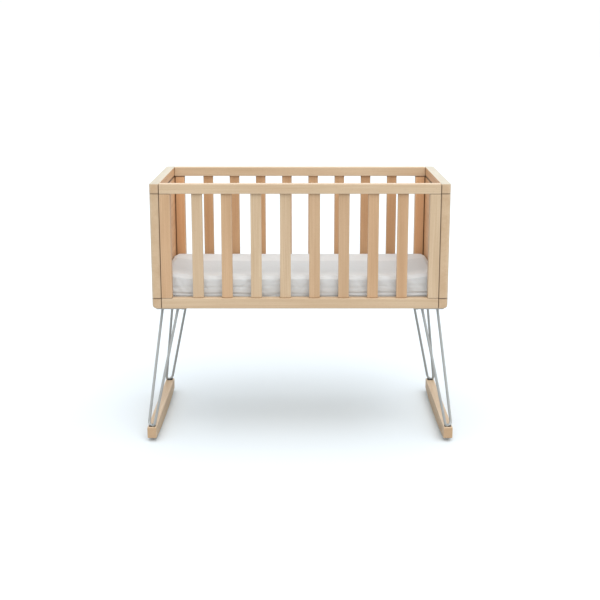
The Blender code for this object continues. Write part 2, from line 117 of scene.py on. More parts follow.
# The level creases of its side: height on it from 0 to 1, depth, and width as part of its height
ROLLS = ((0.11, 0.0030, 0.045), (0.29, 0.0044, 0.048), (0.57, 0.0026, 0.060),
         (0.80, 0.0007, 0.060))
RIM = 0.010  # how far its top stands up along the ends
VOXEL = 0.005
SWELL = 0.005  # how far its cover may move out while it is blown up
SHRINK = 0.0006  # and how far in

SIGNS = ((-1, "left"), (1, "right"))
DEPTHS = ((-1, "front"), (1, "back"))


def box_of(node):
    """A CAD node's lowest and highest corner as arrays."""
    low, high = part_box(node)
    return np.array(low), np.array(high)


BODY_LOW = np.minimum(box_of("left_end_bottom_rail")[0], box_of("front_bottom_rail")[0])
BODY_HIGH = np.maximum(box_of("right_end_top_rail")[1], box_of("back_top_rail")[1])
# Where the boards of the body meet: the ends and the sides, and the rails and the uprights
JOINT_X = box_of("right_end_panel")[0][0]
JOINT_LEVELS = np.array([box_of("front_bottom_rail")[1][2], box_of("front_top_rail")[0][2]])
ON_BODY = JOINT_LEVELS[0] / 2  # a level between the rockers and the body


# ---- stage ----

def add_object(name, data):
    """A new object in the scene."""
    obj = bpy.data.objects.new(name, data)
    bpy.context.scene.collection.objects.link(obj)
    return obj


def add_light(name, towards, width, strength, colour=(1.0, 0.985, 0.965)):
    """A far soft light, which lies in a direction and looks as wide as an angle in degrees."""
    data = bpy.data.lights.new(name, "SUN")
    data.angle = radians(width)
    data.energy = strength
    data.color = colour
    light = add_object(name, data)
    light.rotation_euler = Vector(towards).to_track_quat("Z", "Y").to_euler()


def make_camera():
    """A long lens in front of the bassinet, looking slightly down at it."""
    data = bpy.data.cameras.new("camera")
    data.lens = CAMERA_LENS
    camera = add_object("camera", data)
    camera.location = (0, -CAMERA_DISTANCE, BODY_HIGH[2] + CAMERA_RISE)
    camera.rotation_euler = (pi / 2 - CAMERA_DIP, 0, 0)
    bpy.context.scene.camera = camera


def make_world():
    """Even light from all around; what the camera and reflections see of it is plain white."""
    world = bpy.data.worlds.new("studio")
    world.use_nodes = True
    bpy.context.scene.world = world
    tree = world.node_tree
    lit = tree.nodes["Background"]
    set_inputs(tree, lit, {"Color": (0.95, 0.985, 1.0, 1), "Strength": 0.52})
    seen = add_node(tree, "ShaderNodeBackground", {"Color": (1, 1, 1, 1), "Strength": 1.02})
    path = add_node(tree, "ShaderNodeLightPath").outputs
    direct = calc(tree, "MAXIMUM", path["Is Camera Ray"], path["Is Glossy Ray"])
    mix = add_node(tree, "ShaderNodeMixShader", {0: direct, 1: lit.outputs[0],
                                                 2: seen.outputs[0]})
    set_inputs(tree, tree.nodes["World Output"], {"Surface": mix.outputs[0]})


def make_floor():
    """A white floor that runs on to the horizon.

    It throws back less light at the bassinet than it shows to the camera, as a small sheet would.
    """
    mesh = bpy.data.meshes.new("floor")
    reach = 60.0
    corners = [(-reach, -reach, 0), (reach, -reach, 0), (reach, reach, 0), (-reach, reach, 0)]
    mesh.from_pydata(corners, [], [(0, 1, 2, 3)])
    floor = add_object("floor", mesh)
    material, shader, tree = new_material("white_floor")
    seen = add_node(tree, "ShaderNodeLightPath").outputs["Is Camera Ray"]
    colour = blend(tree, seen, (0.50, 0.53, 0.55, 1), (0.785, 0.848, 0.900, 1))
    set_inputs(tree, shader, {"Base Color": colour, "Roughness": 0.8,
                              "Specular IOR Level": 0.1})
    mesh.materials.append(material)


def make_stage():
    """Camera, lights and floor."""
    bpy.context.scene.view_settings.view_transform = "Standard"
    make_camera()
    make_world()
    make_floor()
    add_light("overhead", (0.10, 0.05, 1.0), 64, 1.25)
    add_light("front_fill", (0.12, -1.0, 0.75), 60, 1.10)
    add_light("key", (0.22, -1.0, 1.50), 30, 0.30)
    add_light("backdrop_glow", (-0.1, 1.0, 0.45), 50, 0.35, (0.98, 0.99, 1.0))
    add_light("left_fill", (-1.0, -0.35, 0.8), 70, 0.40)
    add_light("right_fill", (1.0, -0.35, 0.8), 70, 0.48)


# ---- shader tools ----

def new_material(name):
    """A material, its Principled shader and its node tree."""
    material = bpy.data.materials.new(name)
    material.use_nodes = True
    tree = material.node_tree
    return material, tree.nodes["Principled BSDF"], tree


def set_inputs(tree, node, inputs):
    """Set a node's inputs to values, or link them to sockets."""
    for key, value in inputs.items():
        if isinstance(value, bpy.types.NodeSocket):
            tree.links.new(value, node.inputs[key])
        else:
            node.inputs[key].default_value = value


def add_node(tree, kind, inputs=None, **settings):
    """A new node with its settings made and its inputs set or linked."""
    node = tree.nodes.new(kind)
    for key, value in settings.items():
        setattr(node, key, value)
    set_inputs(tree, node, inputs or {})
    return node


def calc(tree, operation, first, second=0.0, third=0.0):
    """The result of one Math node."""
    inputs = {0: first, 1: second, 2: third}
    return add_node(tree, "ShaderNodeMath", inputs, operation=operation).outputs[0]


def scaled(tree, vector, scale):
    """A vector with each of its parts multiplied."""
    inputs = {0: vector, 1: scale}
    return add_node(tree, "ShaderNodeVectorMath", inputs, operation="MULTIPLY").outputs[0]


def noise(tree, vector, scale, detail=2.0, roughness=0.5):
    """Smooth noise from 0 to 1 at the given number of waves per metre along each axis."""
    inputs = {"Vector": scaled(tree, vector, scale), "Scale": 1.0, "Detail": detail,
              "Roughness": roughness}
    return add_node(tree, "ShaderNodeTexNoise", inputs).outputs[0]


def ramp(tree, value, low, high):
    """A value taken from low..high to 0..1, clamped."""
    inputs = {"Value": value, "From Min": low, "From Max": high}
    return add_node(tree, "ShaderNodeMapRange", inputs, clamp=True).outputs[0]


def blend(tree, amount, first, second, mode="MIX"):
    """A mix of two colours."""
    inputs = {0: amount, 6: first, 7: second}
    node = add_node(tree, "ShaderNodeMix", inputs, data_type="RGBA", blend_type=mode)
    return node.outputs[2]


def tint(tree, colour, mask, share, towards):
    """A colour moved towards another by a share of a mask."""
    return blend(tree, calc(tree, "MULTIPLY", mask, share), colour, (*towards, 1))


def attribute(tree, name, output="Fac"):
    """A named attribute of the piece."""
    return add_node(tree, "ShaderNodeAttribute", attribute_name=name).outputs[output]


def new_group(name, inputs, outputs):
    """A shader node group that takes a place and some numbers, and gives numbers."""
    group = bpy.data.node_groups.new(name, "ShaderNodeTree")
    socket = group.interface.new_socket
    socket("Vector", in_out="INPUT", socket_type="NodeSocketVector")
    for label, value in inputs.items():
        socket(label, in_out="INPUT", socket_type="NodeSocketFloat").default_value = value
    for label in outputs:
        socket(label, in_out="OUTPUT", socket_type="NodeSocketFloat")
    entry = group.nodes.new("NodeGroupInput")
    leave = group.nodes.new("NodeGroupOutput")
    return group, entry.outputs, leave


def place_group(tree, group, inputs):
    """A group in a tree, with its inputs set or linked."""
    return add_node(tree, "ShaderNodeGroup", inputs, node_tree=group).outputs


def bump(tree, height, distance, strength=1.0):
    """A Bump node's normal."""
    inputs = {"Height": height, "Distance": distance, "Strength": strength}
    return add_node(tree, "ShaderNodeBump", inputs).outputs[0]


# ---- shared effects ----

def wood_grain_group():
    """Wood in a log's own space: X along the grain, and the pith on the X axis.

    Rings are the distance from the pith, bent by slow noise, as a saw tooth whose late part is
    sharp.  Streaks and pores are noise drawn out along the grain, and flecks are short spindles.
    """
    group, entry, leave = new_group("wood_grain", {"Ring": RING},
                                    ("Rings", "Streaks", "Flecks", "Height"))
    place = entry["Vector"]
    bend = noise(group, place, (2.2, 16, 16), 2.0)
    across = scaled(group, place, (0.0, 1.0, 1.0))
    reach = add_node(group, "ShaderNodeVectorMath", {0: across}, operation="LENGTH").outputs[1]
    bent = calc(group, "MULTIPLY_ADD", bend, 0.010, reach)
    count = calc(group, "DIVIDE", bent, entry["Ring"])
    tooth = calc(group, "POWER", calc(group, "FRACT", count), 2.6)
    year = add_node(group, "ShaderNodeTexWhiteNoise", {"W": calc(group, "FLOOR", count)},
                    noise_dimensions="1D").outputs[0]
    strength = calc(group, "MULTIPLY_ADD", year, 0.75, 0.25)
    rings = calc(group, "MULTIPLY", tooth, strength)
    fine = noise(group, place, (5, 420, 420), 3.0, 0.6)
    broad = noise(group, place, (3, 34, 34), 2.0)
    streaks = calc(group, "MULTIPLY_ADD", broad, 0.55, calc(group, "MULTIPLY", fine, 0.45))
    cells = add_node(group, "ShaderNodeTexVoronoi",
                     {"Vector": scaled(group, place, (240, 1300, 1300)), "Scale": 1.0})
    near = ramp(group, cells.outputs["Distance"], 0.36, 0.16)
    kept = ramp(group, add_node(group, "ShaderNodeSeparateColor",
                                {0: cells.outputs["Color"]}).outputs[0], 0.62, 0.66)
    flecks = calc(group, "MULTIPLY", near, kept)
    pores = noise(group, place, (170, 2600, 2600), 1.0)
    height = calc(group, "MULTIPLY_ADD", pores, 0.5, calc(group, "MULTIPLY", fine, 0.5))
    set_inputs(group, leave, {"Rings": rings, "Streaks": streaks, "Flecks": flecks,
                              "Height": height})
    return group


def rubbed_edge_group():
    """Where a board's edges are rubbed: its edge attribute, broken up by noise."""
    group, entry, leave = new_group("rubbed_edge", {"Edge": 0.0}, ["Mask"])
    patchy = ramp(group, noise(group, entry["Vector"], (60, 60, 60), 3.0), 0.30, 0.72)
    broken = calc(group, "MULTIPLY_ADD", patchy, 0.6, 0.4)
    set_inputs(group, leave, {"Mask": calc(group, "MULTIPLY", entry["Edge"], broken)})
    return group


def unevenness_group():
    """Soft unevenness that handling and dust leave on any finish: one size of noise."""
    group, entry, leave = new_group("unevenness", {"Size": 0.03}, ["Mask"])
    per_metre = calc(group, "DIVIDE", 1.0, entry["Size"])
    scale = add_node(group, "ShaderNodeCombineXYZ", dict.fromkeys(range(3), per_metre)).outputs[0]
    large = noise(group, entry["Vector"], scale, 3.0)
    set_inputs(group, leave, {"Mask": ramp(group, large, 0.25, 0.75)})
    return group


def weave_group():
    """A fine jersey: two crossing sets of waves, laid on the face that the surface looks at.

    Height is 0..1.  The flat pattern is taken from above, from the side or from the end, by
    whichever way the surface faces most.
    """
    group, entry, leave = new_group("weave", {"Thread": 0.0012}, ("Height", "Slub"))
    turns = calc(group, "DIVIDE", 2 * pi, entry["Thread"])
    wavy = noise(group, entry["Vector"], (70, 70, 70), 2.0)
    parts = add_node(group, "ShaderNodeSeparateXYZ", {0: entry["Vector"]}).outputs
    facing = add_node(group, "ShaderNodeNewGeometry").outputs["Normal"]
    sides = add_node(group, "ShaderNodeSeparateXYZ", {0: facing}).outputs
    waves = []
    for axis in range(3):
        bent = calc(group, "MULTIPLY_ADD", wavy, 0.004, parts[axis])
        waves.append(calc(group, "SINE", calc(group, "MULTIPLY", bent, turns)))
    height = 0.0
    for axis in range(3):
        crossed = calc(group, "MULTIPLY", waves[(axis + 1) % 3], waves[(axis + 2) % 3])
        weight = calc(group, "POWER", calc(group, "ABSOLUTE", sides[axis]), 3.0)
        height = calc(group, "MULTIPLY_ADD", crossed, weight, height)
    slub = noise(group, entry["Vector"], (420, 420, 420), 2.0)
    set_inputs(group, leave, {"Height": calc(group, "MULTIPLY_ADD", height, 0.5, 0.5),
                              "Slub": slub})
    return group


GRAIN = wood_grain_group()
RUBBED = rubbed_edge_group()
UNEVEN = unevenness_group()
WEAVE = weave_group()


# ---- materials ----

def beech_material():
    """Pale beech under a clear satin oil, cut so that each board has its own part of the log."""
    material, shader, tree = new_material("oiled_beech")
    log = attribute(tree, "grain", "Vector")
    edge, joint_shade, end, tone_with_painted_light, warmth_with_painted_light = (attribute(tree, name)
                                   for name in ("edge", "joint_shade", "end", "tone_with_painted_light", "warmth_with_painted_light"))
    grain = place_group(tree, GRAIN, {"Vector": log, "Ring": RING})
    bare = calc(tree, "SUBTRACT", edge, joint_shade)
    rubbed = place_group(tree, RUBBED, {"Vector": log, "Edge": bare})["Mask"]
    uneven = place_group(tree, UNEVEN, {"Vector": log, "Size": 0.12})["Mask"]

    late = (0.500, 0.345, 0.205)
    colour = tint(tree, (0.690, 0.540, 0.372, 1), grain["Rings"], 0.60, late)
    colour = tint(tree, colour, ramp(tree, grain["Streaks"], 0.38, 0.66), 0.70, late)
    colour = tint(tree, colour, uneven, 0.28, (0.620, 0.435, 0.290))
    colour = tint(tree, colour, grain["Flecks"], 0.45, (0.335, 0.195, 0.100))
    # each board's own tone and warmth, with painted light, shade, sheen and warm bounce light on
    # some faces
    parts = [calc(tree, "MULTIPLY", tone_with_painted_light, calc(tree, "MULTIPLY_ADD", warmth_with_painted_light, loss, 1.0))
             for loss in (-0.07, -0.165, -0.235)]
    shade = add_node(tree, "ShaderNodeCombineColor", dict(enumerate(parts))).outputs[0]
    colour = blend(tree, 1.0, colour, shade, "MULTIPLY")
    colour = tint(tree, colour, rubbed, 0.22, (0.72, 0.58, 0.42))
    colour = tint(tree, colour, end, 0.55, (0.47, 0.29, 0.16))
    # painted shade in the joints between boards
    colour = tint(tree, colour, joint_shade, 0.92, (0.060, 0.024, 0.008))
    rough = calc(tree, "MULTIPLY_ADD", grain["Streaks"], 0.16, 0.36)
    rough = calc(tree, "MULTIPLY_ADD", rubbed, -0.08, rough)
    set_inputs(tree, shader, {"Base Color": colour, "Roughness": rough, "IOR": 1.48,
                              "Specular IOR Level": 0.3,
                              "Normal": bump(tree, grain["Height"], 0.00012, 0.7)})
    return material


def plywood_material():
    """Birch plywood: veneer on its faces, and thin crossed layers along its edges."""
    material, shader, tree = new_material("birch_plywood")
    place = add_node(tree, "ShaderNodeTexCoord").outputs["Object"]
    grain = place_group(tree, GRAIN, {"Vector": attribute(tree, "grain", "Vector"),
                                      "Ring": 0.006})
    uneven = place_group(tree, UNEVEN, {"Vector": place, "Size": 0.08})["Mask"]
    height = add_node(tree, "ShaderNodeSeparateXYZ", {0: place}).outputs[2]
    layer = calc(tree, "FRACT", calc(tree, "DIVIDE", height, 0.0028))
    dark_layer = calc(tree, "GREATER_THAN", layer, 0.5)
    facing = add_node(tree, "ShaderNodeNewGeometry").outputs["Normal"]
    upright = add_node(tree, "ShaderNodeSeparateXYZ", {0: facing}).outputs[2]
    on_edge = calc(tree, "LESS_THAN", calc(tree, "ABSOLUTE", upright), 0.5)
    colour = tint(tree, (0.66, 0.52, 0.36, 1), grain["Rings"], 0.5, (0.52, 0.36, 0.21))
    colour = tint(tree, colour, uneven, 0.3, (0.60, 0.44, 0.29))
    layers = calc(tree, "MULTIPLY", dark_layer, on_edge)
    colour = tint(tree, colour, layers, 0.6, (0.30, 0.18, 0.10))
    rough = calc(tree, "MULTIPLY_ADD", grain["Streaks"], 0.2, 0.5)
    set_inputs(tree, shader, {"Base Color": colour, "Roughness": rough,
                              "Normal": bump(tree, grain["Height"], 0.0002, 0.8)})
    return material


def cover_material():
    """White cotton jersey, slightly soft at the edges of its light."""
    material, shader, tree = new_material("white_jersey")
    place = add_node(tree, "ShaderNodeTexCoord").outputs["Object"]
    weave = place_group(tree, WEAVE, {"Vector": place, "Thread": 0.0013})
    uneven = place_group(tree, UNEVEN, {"Vector": place, "Size": 0.10})["Mask"]
    gaps = calc(tree, "SUBTRACT", 1.0, weave["Height"])
    slub = ramp(tree, weave["Slub"], 0.55, 0.75)
    colour = tint(tree, (0.672, 0.697, 0.715, 1), uneven, 0.5, (0.642, 0.667, 0.690))
    # painted shadow of the front top rail across the middle of the top
    colour = tint(tree, colour, attribute(tree, "painted_rail_shadow"), 1.0, (0.565, 0.596, 0.620))
    colour = tint(tree, colour, gaps, 0.16, (0.58, 0.585, 0.60))
    colour = tint(tree, colour, slub, 0.10, (0.88, 0.88, 0.87))
    rough = calc(tree, "MULTIPLY_ADD", weave["Slub"], 0.12, 0.84)
    height = calc(tree, "MULTIPLY_ADD", weave["Slub"], 0.35, weave["Height"])
    set_inputs(tree, shader, {"Base Color": colour, "Roughness": rough,
                              "Normal": bump(tree, height, 0.00025, 0.55),
                              "Sheen Weight": 0.25, "Sheen Roughness": 0.5,
                              "Specular IOR Level": 0.25})
    return material


def mottled_material(name, size, mottle, first, second, rough, marks, metallic):
    """A plain hard finish: two near colours in soft patches, and fine marks all over.

    rough is (more in the patches, least), and marks is (waves per metre, depth, strength).
    """
    material, shader, tree = new_material(name)
    place = add_node(tree, "ShaderNodeTexCoord").outputs["Object"]
    uneven = place_group(tree, UNEVEN, {"Vector": place, "Size": size})["Mask"]
    fine = noise(tree, place, (marks[0],) * 3, 1.0)
    set_inputs(tree, shader, {"Base Color": tint(tree, first, uneven, mottle, second),
                              "Roughness": calc(tree, "MULTIPLY_ADD", uneven, *rough),
                              "Normal": bump(tree, fine, *marks[1:]), "Metallic": metallic})
    return material


def painted_rod_material():
    """Light grey gloss powder coat with a faint orange-peel skin and a few dull patches."""
    return mottled_material("grey_powder_coat", 0.02, 0.6, (0.40, 0.413, 0.41, 1),
                            (0.33, 0.343, 0.34), (0.10, 0.34), (900, 0.00006, 0.25), 0.15)


def zinc_material():
    """Zinc plate: mottled, slightly blue, with fine turning marks."""
    return mottled_material("zinc_plate", 0.004, 1.0, (0.62, 0.63, 0.66, 1),
                            (0.50, 0.51, 0.52), (0.18, 0.26), (2500, 0.00003, 0.5), 1.0)


def black_plastic_material():
    """Black moulded plastic with a fine spark-eroded texture."""
    return mottled_material("black_moulded_plastic", 0.006, 1.0, (0.018, 0.018, 0.019, 1),
                            (0.034, 0.034, 0.035), (0.12, 0.46), (2200, 0.00005, 0.6), 0.0)


# ---- mesh tools ----

def ring_faces(rings, around):
    """Quads between neighbouring rings of a grid of points, each ring closed on itself."""
    ring = np.arange(rings - 1)[:, None] * around
    here = np.arange(around)[None, :]
    beside = (here + 1) % around
    corners = [ring + here, ring + beside, ring + around + beside, ring + around + here]
    return np.stack(corners, axis=-1).reshape(-1, 4)


def loft(rings):
    """A closed skin over rings of points, given as (ring, place round it, xyz).

    Neighbouring rings are joined by quads, and one flat face closes each end.
    """
    count, around, _ = rings.shape
    faces = ring_faces(count, around).tolist()
    faces.append(list(range(around))[::-1])
    faces.append(list(range((count - 1) * around, count * around)))
    return rings.reshape(-1, 3), faces


def make_mesh(name, points, faces):
    """A mesh with its doubles merged and its faces pointing out."""
    mesh = bpy.data.meshes.new(name)
    mesh.from_pydata(np.asarray(points).tolist(), [], faces)
    shape = bmesh.new()
    shape.from_mesh(mesh)
    bmesh.ops.remove_doubles(shape, verts=shape.verts, dist=1e-6)
    bmesh.ops.recalc_face_normals(shape, faces=shape.faces)
    shape.to_mesh(mesh)
    shape.free()
    return mesh


def vectors(data, name="co"):
    """One vector of each of a mesh's points, or of its other data, as an array."""
    values = np.empty(len(data) * 3, np.float32)
    data.foreach_get(name, values)
    return values.reshape(-1, 3).astype(float)


def add_piece(name, mesh, material, slot, body, *nodes, sharp=40):
    """Put a finished mesh in the scene in place of its CAD nodes."""
    piece = add_object(name, mesh)
    mesh.materials.clear()
    mesh.materials.append(material)
    mesh.shade_smooth()
    mesh.set_sharp_from_angle(angle=radians(sharp))
    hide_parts(*nodes)
    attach(piece, body)
    return piece


def even_shading(piece):
    """Keep a board's flats flat between its rounded edges."""
    weighted = piece.modifiers.new("even_shading", "WEIGHTED_NORMAL")
    weighted.keep_sharp = True


def evaluated_copy(obj):
    """A new mesh of an object with its modifiers applied."""
    bpy.context.view_layer.update()
    evaluated = obj.evaluated_get(bpy.context.evaluated_depsgraph_get())
    return bpy.data.meshes.new_from_object(evaluated)


def combined(name, mesh, tools, operation):
    """A new mesh: one mesh with closed tools cut out of it, or welded onto it."""
    base = add_object(name, mesh)
    others = [add_object(name + "_tool", tool) for tool in tools]
    for other in others:
        boolean = base.modifiers.new(other.name, "BOOLEAN")
        boolean.operation = operation
        boolean.solver = "EXACT"
        boolean.object = other
    made = evaluated_copy(base)
    for obj in [base, *others]:
        bpy.data.objects.remove(obj, do_unlink=True)
    return made


# ---- shapes ----

def outlines(low, high, radii, steps=4, wear=WEAR):
    """Rounded rectangles, anticlockwise: (rectangle, place round it, 2).

    low and high are rows of opposite corners, and radii has four columns, from the corner at
    high X and low Y on.  Each corner is a quarter circle, with one more point on the flat at
    each side of it, the width of the rubbed edge away.
    """
    signs = np.array([(1, -1), (1, 1), (-1, 1), (-1, -1)])
    square = np.where(signs > 0, high[:, None, :], low[:, None, :])
    middles = square - signs * radii[..., None]
    angles = np.linspace(0, pi / 2, steps + 1) + (np.arange(4)[:, None] - 1) * pi / 2
    out = np.stack([np.cos(angles), np.sin(angles)], axis=-1)
    along = np.stack([-np.sin(angles), np.cos(angles)], axis=-1)
    arcs = middles[:, :, None, :] + radii[..., None, None] * out
    before = arcs[:, :, :1] - wear * along[:, :1]
    after = arcs[:, :, -1:] + wear * along[:, -1:]
    points = np.concatenate([before, arcs, after], axis=2)
    return points.reshape(len(low), -1, 2)


def placed(along, across, axis):
    """Points from a distance along an axis and the two coordinates across it, in cyclic order."""
    points = np.empty(across.shape[:-1] + (3,))
    points[..., axis] = along
    points[..., (axis + 1) % 3] = across[..., 0]
    points[..., (axis + 2) % 3] = across[..., 1]
    return points


def quarter(radius, steps):
    """A quarter circle that rounds an end: (distance in from the end, how far the side draws in)."""
    angles = np.linspace(pi / 2, 0, steps + 1)
    return radius * (1 - np.sin(angles)), radius * (1 - np.cos(angles))


def stations(low, high, radius, steps=4, wear=WEAR):
    """Sections of a board between two ends: places along it, and how far each one draws in."""
    inwards, drawn = quarter(radius, steps)
    inwards = np.append(inwards, radius + wear)
    drawn = np.append(drawn, 0.0)
    return np.concatenate([low + inwards, (high - inwards)[::-1]]), np.append(drawn, drawn[::-1])


def board_shape(low, high, axis, radius, corners=None, steps=(4, 4), wear=(WEAR, WEAR)):
    """A board with rounded edges that runs along an axis.

    Its section is a rounded rectangle, carried along the axis, and drawn in at each end along a
    quarter circle.  steps and wear are given for the ends, then for the section's corners.
    """
    sides = [(axis + 1) % 3, (axis + 2) % 3]
    along, drawn = stations(low[axis], high[axis], radius, steps[0], wear[0])
    radii = np.tile(corners or [radius] * 4, (len(along), 1))
    section = outlines(low[sides] + drawn[:, None], high[sides] - drawn[:, None], radii,
                       steps[1], wear[1])
    return loft(placed(along[:, None], section, axis))


def turned_shape(radii, heights, place, direction, around=48):
    """A turned shape: rings of the given radii and heights along a direction from a place.

    A row of radii may hold one radius for each place round it, so that a ring can be a hexagon.
    """
    direction = np.array(direction, float)
    guide = (1, 0, 0) if abs(direction[0]) < 0.5 else (0, 1, 0)
    side = np.cross(guide, direction)
    other = np.cross(direction, side)
    angles = np.arange(around) * 2 * pi / around
    ring = np.cos(angles)[:, None] * side + np.sin(angles)[:, None] * other
    radii = np.stack([np.broadcast_to(row, around) for row in radii])
    rings = radii[..., None] * ring + np.array(heights)[:, None, None] * direction
    return loft(np.array(place) + rings)


def hexagon(flat, around=48):
    """Radii round a hexagon with the given distance from its middle to each flat."""
    angles = np.arange(around) * 2 * pi / around
    return flat / np.cos(np.mod(angles, pi / 3) - pi / 6)


def tube_rings(line, radii, plane, around=24):
    """Rings of a round tube along a flat line of points, square to the line at every point."""
    ahead = np.gradient(line, axis=0)
    ahead /= np.linalg.norm(ahead, axis=1, keepdims=True)
    side = np.cross(ahead, plane)
    angles = np.arange(around) * 2 * pi / around
    ring = (np.cos(angles)[None, :, None] * np.array(plane)
            + np.sin(angles)[None, :, None] * side[:, None, :])
    return line[:, None, :] + radii[:, None, None] * ring


# ---- wood ----

PLANKS = np.random.default_rng(5)


def inside_of(points):
    """Which of an end's points are on its inner face."""
    return np.abs(points[:, 0]) < JOINT_X + 0.3 * EASE


def joint_shade_of(points, low, high, axis, edge):
    """How dark each point is with the painted shade between two boards of the body, from 0 to 1.

    The painted shade lies in the rounding of both boards.  It is deeper on the back's uprights,
    and wider in the back's corners, where more shade falls.  The ends have none along their rim
    or across their inner faces.
    """
    sides = np.abs(np.abs(points[:, :1]) - JOINT_X)
    levels = np.abs(points[:, 2:] - JOINT_LEVELS)
    if axis == 1:
        levels[inside_of(points)] += 2 * EASE
    off = (sides if axis == 0 else np.concatenate([sides, levels], axis=1)).min(axis=1)
    if axis == 1:
        to_rim = np.minimum(BODY_HIGH[2] - points[:, 2], points[:, 2] - BODY_LOW[2])
        off[to_rim < 1.5 * EASE] = np.inf
    back_upright = axis == 2 and low[1] > 0
    joint_shade = edge * np.clip((2.0 if back_upright else 1.25) - off / EASE, 0, 1)
    middle = (low + high) / 2
    # painted shade, wider, in the back's corners
    if back_upright and np.abs(middle[0]) > JOINT_X - CORNER_REACH:
        to_end = JOINT_X - np.abs(points[:, 0])
        line = np.clip(1.15 - (to_end - EASE) / (1.1 * WEAR), 0, 1)
        joint_shade = np.maximum(joint_shade, line * (points[:, 1] < middle[1]))
    return joint_shade


def tones_of(points, low, high, axis, warmth):
    """How light and how rosy each point is; every board differs a little.

    The rockers' tops are darker with painted shade, the ends' tops paler and cooler with a painted
    sheen and their inner faces lighter and warmer with painted light, and the back's uprights are
    rosier on their inner sides with painted warm bounce light, and lighter there at the corners.
    """
    tone_with_painted_light = np.full(len(points), PLANKS.uniform(0.97, 1.02))
    warmth_with_painted_light = np.full(len(points), warmth + PLANKS.uniform(0, 0.2))
    middle = (low + high) / 2
    if low[2] < ON_BODY:
        # painted shade on the rockers' tops, under the body
        tone_with_painted_light[points[:, 2] > high[2] - 0.3 * EASE] *= PAINTED_ROCKER_TOP_SHADE
    elif axis == 1:
        # painted sheen on the ends' tops: paler and less warm
        topmost = points[:, 2] > BODY_HIGH[2] - 0.3 * EASE
        tone_with_painted_light[topmost] *= PAINTED_SHEEN_TONE
        warmth_with_painted_light[topmost] -= PAINTED_SHEEN_WARMTH
        # painted light and warm bounce light on the ends' inner faces
        tone_with_painted_light[inside_of(points)] *= PAINTED_INSIDE_LIGHT_TONE
        warmth_with_painted_light[inside_of(points)] += PAINTED_INSIDE_BOUNCE_WARMTH
    # the back's uprights keep the painted warm bounce light on their inner sides only
    elif axis == 2 and low[1] > 0:
        warmth_with_painted_light[points[:, 1] > middle[1]] -= warmth
        # painted light on the inner sides of the back's corner uprights
        if np.abs(middle[0]) > JOINT_X - CORNER_REACH:
            tone_with_painted_light[points[:, 1] < middle[1]] *= PAINTED_CORNER_LIGHT
    return tone_with_painted_light, warmth_with_painted_light


def give_grain(mesh, low, high, axis, warmth=0.0):
    """Attributes of a wooden piece: its place in a log, its edges, the painted shade of its joints,
    sawn ends, and tones with painted light and shade.

    The log's X runs along the board, and its pith is some way off to one side.  A point's edge
    value is 1 where it is within the rounding of two faces, and 0 past the rubbed width.
    """
    points = vectors(mesh.vertices)
    turn = PLANKS.uniform(0, 2 * pi)
    away = PLANKS.uniform(0.05, 0.16)
    pith = np.array([PLANKS.uniform(0, 3), away * np.cos(turn), away * np.sin(turn)])
    log = (points - (low + high) / 2)[:, [axis, (axis + 1) % 3, (axis + 2) % 3]] + pith
    to_faces = np.sort(np.concatenate([points - low, high - points], axis=1), axis=1)
    edge = np.clip(1 - (to_faces[:, 1] - EASE) / WEAR, 0, 1)
    from_ends = np.minimum(points[:, axis] - low[axis], high[axis] - points[:, axis])
    end = np.clip(1 - from_ends / EASE, 0, 1) * (0.4 if low[2] > ON_BODY else 1)
    tone_with_painted_light, warmth_with_painted_light = tones_of(points, low, high, axis, warmth)
    values = {"edge": edge, "joint_shade": joint_shade_of(points, low, high, axis, edge), "end": end,
              "tone_with_painted_light": tone_with_painted_light, "warmth_with_painted_light": warmth_with_painted_light}
    mesh.attributes.new("grain", "FLOAT_VECTOR", "POINT").data.foreach_set("vector", log.ravel())
    for name, value in values.items():
        mesh.attributes.new(name, "FLOAT", "POINT").data.foreach_set("value", value)


def add_wood(node, mesh, axis, material):
    """A wooden piece with its grain."""
    upright_back = node.startswith("back") and axis == 2
    give_grain(mesh, *box_of(node), axis, ROSY.get(node, PAINTED_BACK_BOUNCE_WARMTH if upright_back else 0.0))
    even_shading(add_piece(node + "_board", mesh, material, "beech", "frame", node))


def add_board(node, axis, material, radius=EASE, levels=None):
    """A plain board with rounded edges in a CAD node's place, or between two levels of it."""
    low, high = box_of(node)
    if levels:
        low[2], high[2] = levels
    add_wood(node, make_mesh(node, *board_shape(low, high, axis, radius)), axis, material)


def make_sides(beech):
    """The long sides' rails, uprights and slats; the slats' tenons are left out."""
    for _, side in DEPTHS:
        for level in ("top", "bottom"):
            add_board(f"{side}_{level}_rail", 0, beech)
        for _, end in SIGNS:
            add_board(f"{side}_{end}_stile", 2, beech)
        levels = [corner[2] for corner in box_of(f"{side}_left_stile")]
        for index in range(1, SLATS + 1):
            add_board(f"{side}_slat_{index}", 2, beech, levels=levels)


def end_shape(node, sx, foot):
    """A piece of an end: an upright loft with big rounds at its two outer corners.

    With a foot, the outer side also draws in along a quarter circle towards the bottom, while
    the other sides keep their small rounding.
    """
    low, high = box_of(node)
    along, drawn = stations(low[2], high[2], EASE)
    outer = drawn.copy()
    if foot:
        inwards, rounded = quarter(CORNER_ROUND, 10)
        top = len(along) // 2
        within = np.clip(EASE - inwards, 0, None)
        along = np.concatenate([low[2] + inwards, along[top:]])
        outer = np.concatenate([rounded, drawn[top:]])
        drawn = np.concatenate([EASE - np.sqrt(EASE ** 2 - within ** 2), drawn[top:]])
    inset_low = np.stack([outer if sx < 0 else drawn, drawn], axis=1)
    inset_high = np.stack([outer if sx > 0 else drawn, drawn], axis=1)
    big = CORNER_ROUND - 0.35 * outer
    small = np.full(len(along), EASE)
    radii = np.stack([big, big, small, small] if sx > 0 else [small, small, big, big], axis=1)
    section = outlines(low[:2] + inset_low, high[:2] - inset_high, radii, 6)
    return loft(placed(along[:, None], section, 2))


